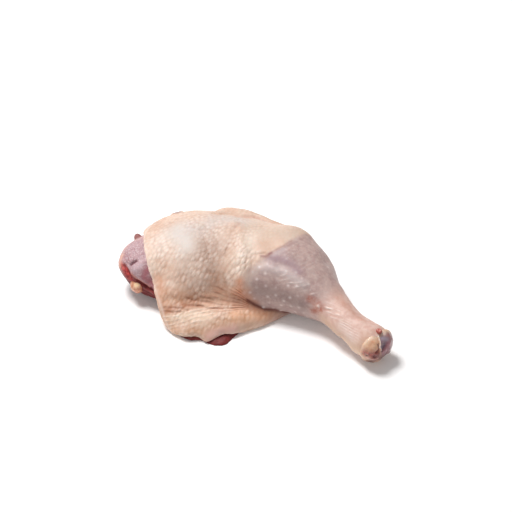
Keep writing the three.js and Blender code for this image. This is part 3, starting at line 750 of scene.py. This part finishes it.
hipSlit = [(-85.4, -28.4, 29.2), (-83.9, -27.2, 30.6), (-82.3, -25.9, 31.8)]
hipLobe = [(-80.5, -29.6, 28.8), (-77.7, -27.4, 30.3)]
lowSinew = [(-74, -32.4, 15.6), (-72.3, -32.8, 15), (-68.3, -33.5, 14.2), (-62, -35, 12.4)]
meatLook = {
    "voxel": 0.6,
    "smoothing": 8,
    "shown": [(-100, -20, 20), (-70, -32, 16), (-12, -42, 0), (92, -12, 20)],
    "shownReach": 36,
    "underside": 0.4,
    "hiddenKeep": 0.1,  # the share of faces that stays
    "offTable": (0.3, 2),  # heights where the relief starts and is full
    "waves": [(0.25, 5, 0), (0.15, 2, 7)],
    "seam": [  # below it the meat is bloody
        (-80, 20, 7), (-90, 10, 11), (-96, 2, 14), (-99, -8, 17), (-99, -18, 20), (-96, -27, 24),
        (-91.5, -28, 27.5), (-88, -30, 26.8), (-83.4, -31.6, 25.2), (-79.4, -32.3, 22.8),
        (-74.9, -31.7, 20.3), (-69.6, -31.6, 17.7), (-64, -32, 15.5), (-50, -34, 10),
    ],
    "seamBlend": (-0.4, 1.2),
    "seamWaver": (0.6, 3),
    "hipFrom": (55, 60),
    "marks": [
        ([(-44.7, 10.3, 42), (-36.5, -0.3, 41), (-29, -8.2, 38), (-22.5, -14.3, 33),
            (-16.8, -18.6, 27)], 11, -3.5),
        ([(-51.2, -39.6, 17), (-40.3, -35.7, 17), (-31.5, -29, 17), (-19.5, -22, 17),
            (-7.5, -16, 16)], 6, -2),
        (hipSlit, 1.1, -1.3),
        (hipLobe, 3.6, 0.8),
        ([(-90.9, -28.6, 26.3), (-88, -30.5, 25.2), (-85.4, -32, 23.3), (-83.7, -32.4, 20.7)], 1.9, -1.8),
        ([(-88.6, -30.2, 25.2), (-87.6, -30.9, 24.6)], 0.9, 1.2),
        ([(-86, -31.8, 22.6), (-85.4, -32, 22)], 0.8, 0.9),
        ([(-83.4, -31.6, 25.2), (-79.4, -32.3, 22.8), (-74.9, -31.7, 20.3), (-69.6, -31.6, 17.7),
            (-64, -32, 15.5)], 0.8, 0.5),
        ([(-78, -32.3, 20.6), (-73.8, -31.6, 18.6), (-70.7, -31.8, 17), (-67, -32.2, 16)], 1.2, -0.9),
        (lowSinew, 0.6, 0.6),
    ],
    "pulls": [
        ((-36.5, -34, 0.5), (4.5, 9, 4), (-1.5, -14, 0.3)),
        ((-31.5, -41, 0.5), (4.5, 8, 4), (-0.5, -8, 0.4)),
        ((-27, -45, 0.8), (4, 7, 4), (-0.5, -4, 0.5)),
        ((-4, -39, 1), 4, (-2.2, 1, 0)),
        ((-1, -34, 1), 4, (-1, 3, 0)),
        ((74, -4, 25), (12, 7, 9), (-0.5, -1.7, -1.5)),
        ((38.5, 24, 35), (7, 7, 7), (-1, -0.8, -0.6)),
        ((-70, -35, 8), (12, 6, 5), (0, 2.2, 1)),
    ],
    "patches": {
        "peach": ([(-89, -0.5, 36), (-93, -3, 33.5), (-97, -6, 29), (-97.4, -12, 27), (-97, -18.6, 26),
            (-96.2, -24.2, 24), (-93.5, -27.5, 22)], 4.2),
        # painted shade in the crease between the hip's lobes
        "crease": (hipSlit, 0.9),
        "lobe": (hipLobe, 3),
        "bead": ([(-88.6, -30.2, 25.2), (-87.6, -30.9, 24.6), (-85.8, -31.9, 22.4)], 0.9),
        "plum": ([(-70, -25, 31), (-73.2, -28, 28), (-74, -30.6, 24), (-70.6, -30.1, 21.6),
            (-66, -31, 19)], 2.6),
        "sinew": ([(-83.4, -31.6, 25.2), (-79.4, -32.3, 22.8), (-74.9, -31.7, 20.3),
            (-69.6, -31.6, 17.7)], 0.7),
        "sinewLow": (lowSinew, 0.45),
        "blood": ([(-93.5, -27.6, 25), (-90, -29.6, 24), (-86.6, -31.6, 21.8), (-84.4, -32.4, 19)], 3.2),
        "flap": ([(-37, -34, 1), (-32, -41, 1), (-27, -45, 1), (-15, -46, 1), (-5, -38, 1)], 7),
        "rind": ([(-95.7, -21.8, 28.3), (-96, -25, 25.5), (-95, -27, 23.5)], 2),
        "vessel": ([(-95, -0.6, 29), (-94.5, -0.6, 29.5)], 3.4),
    },
    "silverTones": [
        ("lobe", 0.6, "cfb6bc"), ("plum", 0.85, "a5646c"),
    ],
    "fineTones": [
        ("bead", 0.8, "b8403c"), ("sinew", 0.7, "cf9086"), ("sinewLow", 0.25, "dba79f"),
    ],
    "body": {**translucent(0.1, (1, 0.3, 0.2), 1.5), "Specular IOR Level": 0.22, "Coat Roughness": 0.2},
}


def makeMeat(look):
    piece = closeCopy("legMeat", "meat", look["voxel"])
    points = readPoints(piece)
    shown = nearest(points, np.array(look["shown"]))[1] < look["shownReach"]
    shown |= points[:, 2] < look["underside"]
    thinOut(piece, ~shown, look["hiddenKeep"])
    smoothOver(piece, look["smoothing"])
    points, normals = readPoints(piece), readPoints(piece, "normal")
    height = unevenness(points, look["waves"]) + relief(points, look["marks"])
    height *= step(points[:, 2], *look["offTable"])
    moved = points + normals * height[:, None] + drag(points, look["pulls"])
    moved[:, 2] = np.maximum(moved[:, 2], 0)
    movePoints(piece, moved)
    seam, far = nearestOn(points, look["seam"])
    waver, size = look["seamWaver"]
    above = far * np.sign(points[:, 2] - seam[:, 2]) + waver * cloud(points, size)
    zones = patchZones(points, look["patches"])
    zones["veil"] = step(above, *look["seamBlend"]) * step(-points[:, 0], *look["hipFrom"])
    giveZones(piece, zones)
    return piece


def paintMeat(look):
    paint = Paint("meat")
    zone = paint.zone
    fibres = paint.grain(1.2, 4, (1, 0, 0), 4)
    veil = zone("veil")
    colour = paint.mix(paint.ramp(fibres, 0.3, 0.7), tint("561214"), tint("7a2423"))
    colour = paint.mix(0.5 * zone("flap"), colour, tint("81403f"))
    silver = paint.patchy(4, "b39397", "9f7b80")
    silver = paint.mix(0.65 * paint.ramp(paint.grain(1, 2), 0.48, 0.66), silver, tint("d6c2c4"))
    colour = paint.mix(veil, colour, paint.glaze(silver, look["silverTones"]))
    colour = paint.mix(zone("peach") * (0.35 + 0.5 * paint.grain(2.5)), colour, tint("d6aea5"))
    # painted shade in the crease between the hip's lobes
    colour = paint.mix(0.9 * zone("crease"), colour, tint("67363e"))
    colour = paint.mix(0.8 * zone("blood"), colour, paint.patchy(1.8, "cb5b55", "8f2f36", 0.38, 0.62))
    colour = paint.mix(zone("rind") * (0.4 + 0.5 * paint.grain(1.5)), colour, tint("dfae98"))
    colour = paint.glaze(colour, look["fineTones"])
    colour = paint.mix(zone("vessel") * (0.75 + 0.5 * paint.grain(1.5)), colour, tint("761f14"))
    return paint.finish({
        "Base Color": colour, "Roughness": 0.46 + 0.1 * paint.grain(4) + 0.1 * veil,
        "Coat Weight": 0.04 - 0.03 * veil, **look["body"],
    }, fibres + paint.grain(0.9, 3), 0.06)


meat = makeMeat(meatLook)
meat.data.materials.append(paintMeat(meatLook))
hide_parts("meat")
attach(meat, "root")
print("meat", len(meat.data.vertices), sum(len(f.vertices) - 2 for f in meat.data.polygons))


# The ball of the thigh bone

gristle = {**translucent(0.2, (1, 0.5, 0.3), 2), "Coat Weight": 0.3, "Coat Roughness": 0.12}
ballLook = {
    "voxel": 0.3,
    "smoothing": 4,
    # cream cartilage with a painted highlight on one side of the ball
    "litCrown": (-79.6, -33.4, 17.4),
    "crownReach": 3.6,
    "swell": 0.12,
    "shift": (1, -0.2, 0.7),
    "waves": [(0.5, 3, 0), (0.15, 1.2, 4)],
}


def makeBall(look):
    piece = closeCopy("femurHead", "femur_head", look["voxel"])
    smoothOver(piece, look["smoothing"])
    points, normals = readPoints(piece), readPoints(piece, "normal")
    swollen = points + look["swell"] * (points - points.mean(axis=0)) + np.array(look["shift"])
    movePoints(piece, swollen + normals * unevenness(points, look["waves"])[:, None])
    giveZones(piece, {"litCrown": spot(points, look["litCrown"], look["crownReach"])})
    return piece


def paintBall():
    paint = Paint("ball")
    colour = paint.patchy(2.5, "d89a76", "ba745a")
    # cream cartilage with a painted highlight
    colour = paint.mix(paint.ramp(paint.zone("litCrown"), 0.25, 0.95), colour, tint("ffd9b4"))
    sockets = {"Base Color": colour, "Roughness": 0.22 + 0.12 * paint.grain(2), **gristle}
    return paint.finish(sockets, paint.grain(0.9, 3), 0.05)


ball = makeBall(ballLook)
ball.data.materials.append(paintBall())
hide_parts("femur_head")
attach(ball, "root")
print("ball", len(ball.data.vertices))


# The knuckle at the hock

jointSlit = [(93.6, -21.6, 21), (94.8, -22.8, 18.9), (93.6, -25.4, 17.1)]
jointHollow = [(96.8, -17.8, 18.2), (96.3, -20.1, 17.7)]
hockClot = [(92.9, -26.5, 14.1), (93.3, -26.3, 13.9)]
hockRing = [(87.8, -27.3, 13.6), (88, -27.3, 13.6)]
knuckleLook = {
    "voxel": 0.3,
    "smoothing": 8,
    "offTable": (0.3, 2),
    "waves": [(0.25, 3.5, 0), (0.1, 1.4, 4)],
    "hockCut": (86.3, -20.1, 0),
    "hockWay": (0.848, -0.53, 0),
    "sleeve": (-4.2, -1.8),  # the skin's end on the knuckle
    "sleeveWaver": (0.8, 3),
    "sleeveRise": 0.3,
    "sleeveRiseFrom": (-4, -1),
    "ridge": (94, -20, 20),
    "ridgeSide": (0.86, 0.49, 0.1),
    "marks": [
        ([(91.6, -16.8, 23.1), (94, -19.6, 21.2), (94.9, -21.9, 19.4), (96, -21.9, 17.4)], 0.65, 0.6),
        (jointSlit, 0.7, -0.7),
        (jointHollow, 2.2, -0.7),
        ([(87.5, -25, 20), (90.5, -24, 20.5)], 3.5, 0.6),
        (hockClot, 1.3, -0.6),
        (hockRing, 0.9, -0.6),
        ([(89.6, -27.4, 12), (92.6, -26.7, 11.3), (94.9, -25.4, 12)], 0.9, 0.4),
    ],
    "pulls": [
        ((91, -26, 5), (7, 5, 5), (0, 1, 1.6)),
    ],
    "patches": {
        "ridge": ([(91.2, -16.4, 23.2), (91.6, -16.8, 23.1), (94, -19.6, 21.2), (94.9, -21.9, 19.4),
            (96, -21.9, 17.4)], 0.55),
        "slit": (jointSlit, 0.6),
        "slate": ([(94.5, -16, 21.8), (96.8, -14.7, 21)], 2.3),
        "purple": (jointHollow, 1.9),
        "mauve": ([(98.8, -14.7, 18.1), (98.3, -17.3, 14), (97.2, -20.9, 14.4)], 1.9),
        "brown": ([(96.9, -11.4, 22.2), (98, -10.8, 20.9)], 1.9),
        "red": ([(86.8, -26.8, 15), (90.1, -26.9, 15), (94.4, -25, 15.8), (92.9, -26.5, 13.4)], 3),
        "clot": (hockClot, 1.5),
        "ring": (hockRing, 1.7),
        "clot2": (hockRing, 0.9),
        "pink": ([(88, -27.4, 11.6), (89.6, -27.4, 12), (92.6, -26.7, 11.3), (94.9, -25.4, 12)], 1.1),
        # painted shade along the knuckle's underside by the table
        "underShade": ([(89, -24, 3), (91.5, -26, 6.5), (93.5, -27, 9.5), (95.5, -25.2, 12.5),
            (97, -21, 9)], 3.4),
        # painted highlight along the upper edge of the cartilage
        "edge": ([(85.1, -24, 20.3), (85.9, -22.8, 22), (88.6, -20.5, 23.4), (91, -17.1, 23.2)], 0.8),
        "white": ([(91.6, -13.8, 23.6), (94, -12.7, 23.5)], 1.5),
    },
    "jointTones": [
        ("slate", 0.9, "a597a4"), ("purple", 0.9, "523c54"), ("mauve", 0.8, "a66873"),
        ("brown", 0.8, "a5746f"), ("sleeve", 0.9, "d9b699"),
    ],
    "fleshTones": [
        ("clot", 0.9, "6a2024"), ("ring", 0.45, "d9b3a0"), ("clot2", 0.9, "6b3a2c"),
        ("underShade", 0.9, "64302f"), ("pink", 0.5, "dfa9a0"), ("slit", 0.8, "7a2f33"),
    ],
    "ridgeTones": [
        ("white", 0.9, "e0c8ba"), ("ridge", 0.9, "ecdcd0"),
    ],
}


def makeKnuckle(look):
    piece = closeCopy("hockKnuckle", "hock_knuckle", look["voxel"])
    smoothOver(piece, look["smoothing"])
    points, normals = readPoints(piece), readPoints(piece, "normal")
    beyond = (points - np.array(look["hockCut"])) @ np.array(look["hockWay"])
    height = unevenness(points, look["waves"]) + relief(points, look["marks"])
    height += look["sleeveRise"] * step(-beyond, *look["sleeveRiseFrom"])
    height *= step(points[:, 2], *look["offTable"])
    movePoints(piece, points + normals * height[:, None] + drag(points, look["pulls"]))
    zones = patchZones(points, look["patches"])
    zones["joint"] = step((points - np.array(look["ridge"])) @ np.array(look["ridgeSide"]), 0, 1)
    waver, size = look["sleeveWaver"]
    zones["sleeve"] = step(waver * cloud(points, size) - beyond, *look["sleeve"])
    giveZones(piece, zones)
    return piece


def paintKnuckle(look):
    paint = Paint("knuckle")
    zone = paint.zone
    bone, joint = paint.patchy(3, "d9b092", "c9987a"), paint.patchy(2.5, "9a6f70", "84565c")
    colour = paint.glaze(paint.mix(zone("joint"), bone, joint), look["jointTones"])
    colour = paint.mix(0.9 * zone("red"), colour, paint.patchy(1.2, "b0443f", "7c2628", 0.4, 0.6))
    colour = paint.glaze(colour, look["fleshTones"])
    # painted highlight along the upper edge of the cartilage
    colour = paint.mix(zone("edge") * (0.7 * paint.grain(1)), colour, tint("f0ddd0"))
    colour = paint.glaze(colour, look["ridgeTones"])
    sockets = {"Base Color": colour, "Roughness": 0.24 + 0.12 * paint.grain(2), **gristle}
    return paint.finish(sockets, paint.grain(0.9, 3), 0.05)


knuckle = makeKnuckle(knuckleLook)
knuckle.data.materials.append(paintKnuckle(knuckleLook))
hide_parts("hock_knuckle")
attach(knuckle, "root")
print("knuckle", len(knuckle.data.vertices))


# The cut vessel on the knuckle

vesselLook = {
    "middle": (90.8, -13.7, 25),
    "size": (2, 2, 1.9),
    "waves": [(0.3, 1.6, 0)],
    "mouth": (91, -14.2, 26.8),
    "mouthReach": 0.8,
    "mouthDepth": 0.7,
    "mouthTint": 1.1,  # how far its colour reaches
    "body": {**translucent(0.2, (1, 0.3, 0.2), 1.5), "Coat Weight": 0.15, "Coat Roughness": 0.2},
}


def makeVessel(look):
    bead = bmesh.new()
    bmesh.ops.create_icosphere(bead, subdivisions=5, radius=1)
    bmesh.ops.scale(bead, vec=Vector(look["size"]) * mm, verts=bead.verts)
    bmesh.ops.translate(bead, vec=Vector(look["middle"]) * mm, verts=bead.verts)
    mesh = bpy.data.meshes.new("hockVessel")
    bead.to_mesh(mesh)
    bead.free()
    mesh.shade_smooth()
    piece = bpy.data.objects.new("hockVessel", mesh)
    bpy.context.scene.collection.objects.link(piece)
    points, normals = readPoints(piece), readPoints(piece, "normal")
    height = unevenness(points, look["waves"])
    height -= look["mouthDepth"] * spot(points, look["mouth"], look["mouthReach"])
    movePoints(piece, points + normals * height[:, None])
    giveZones(piece, {"mouth": spot(points, look["mouth"], look["mouthTint"])})
    return piece


def paintVessel(look):
    paint = Paint("vessel")
    colour = paint.mix(paint.grain(1.5), tint("b25a4c"), tint("99463c"))
    colour = paint.mix(paint.zone("mouth"), colour, tint("cf8072"))
    sockets = {"Base Color": colour, "Roughness": 0.34 + 0.1 * paint.grain(1), **look["body"]}
    return paint.finish(sockets, paint.grain(0.7, 3), 0.05)


vessel = makeVessel(vesselLook)
vessel.data.materials.append(paintVessel(vesselLook))
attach(vessel, "root")
print("vessel", len(vessel.data.vertices))


# Table, light and camera

studio = {
    "aim": (-14.88, 24.30, 20.6),
    "way": (0.30817, -0.67623, 0.66913),  # from the leg to the camera
    "distance": 926,
    "lens": 93.02,
    "sensor": 36,
    "key": {"at": (-430, 115, 1050), "size": 430, "power": 12.5},
    "fill": {"at": (-500, -800, 600), "size": 900, "power": 1},
    "lampAim": (0, 0, 10),
    "sky": 0.36,
    "skyColour": (1, 0.97, 0.95, 1),
    "tableSize": 3000,
    "tableColours": [(0.935, 0.93, 0.93, 1), (0.955, 0.95, 0.95, 1)],
    "tableGlow": 0.055,
}


def lookAt(thing, place, target):
    way = Vector(target) - Vector(place)
    thing.location = Vector(place) * mm
    thing.rotation_euler = way.to_track_quat("-Z", "Y").to_euler()
    bpy.context.scene.collection.objects.link(thing)


def addLamp(name, lamp, aim):
    light = bpy.data.lights.new(name, "AREA")
    light.shape = "DISK"
    light.size = lamp["size"] * mm
    light.energy = lamp["power"]
    lookAt(bpy.data.objects.new(name, light), lamp["at"], aim)


def addTable(look):
    sheet = bmesh.new()
    bmesh.ops.create_grid(sheet, x_segments=1, y_segments=1, size=look["tableSize"] * mm)
    mesh = bpy.data.meshes.new("table")
    sheet.to_mesh(mesh)
    sheet.free()
    table = bpy.data.objects.new("table", mesh)
    bpy.context.scene.collection.objects.link(table)
    paint = Paint("table")
    white = paint.mix(paint.grain(400), *look["tableColours"])
    glow = {"Emission Color": white, "Emission Strength": look["tableGlow"]}
    mesh.materials.append(paint.finish({"Base Color": white, "Roughness": 0.7, **glow}))


def addCamera(look):
    lens = bpy.data.cameras.new("camera")
    lens.sensor_width = look["sensor"]
    lens.lens = look["lens"]
    camera = bpy.data.objects.new("camera", lens)
    aim = Vector(look["aim"])
    lookAt(camera, aim + Vector(look["way"]) * look["distance"], aim)
    bpy.context.scene.camera = camera


def addSky(look):
    world = bpy.data.worlds.new("studio")
    world.use_nodes = True
    sky = world.node_tree.nodes["Background"]
    sky.inputs["Color"].default_value = look["skyColour"]
    sky.inputs["Strength"].default_value = look["sky"]
    bpy.context.scene.world = world


addTable(studio)
addLamp("key", studio["key"], studio["lampAim"])
addLamp("fill", studio["fill"], studio["lampAim"])
addCamera(studio)
addSky(studio)
bpy.context.scene.view_settings.view_transform = "Standard"
print("studio")
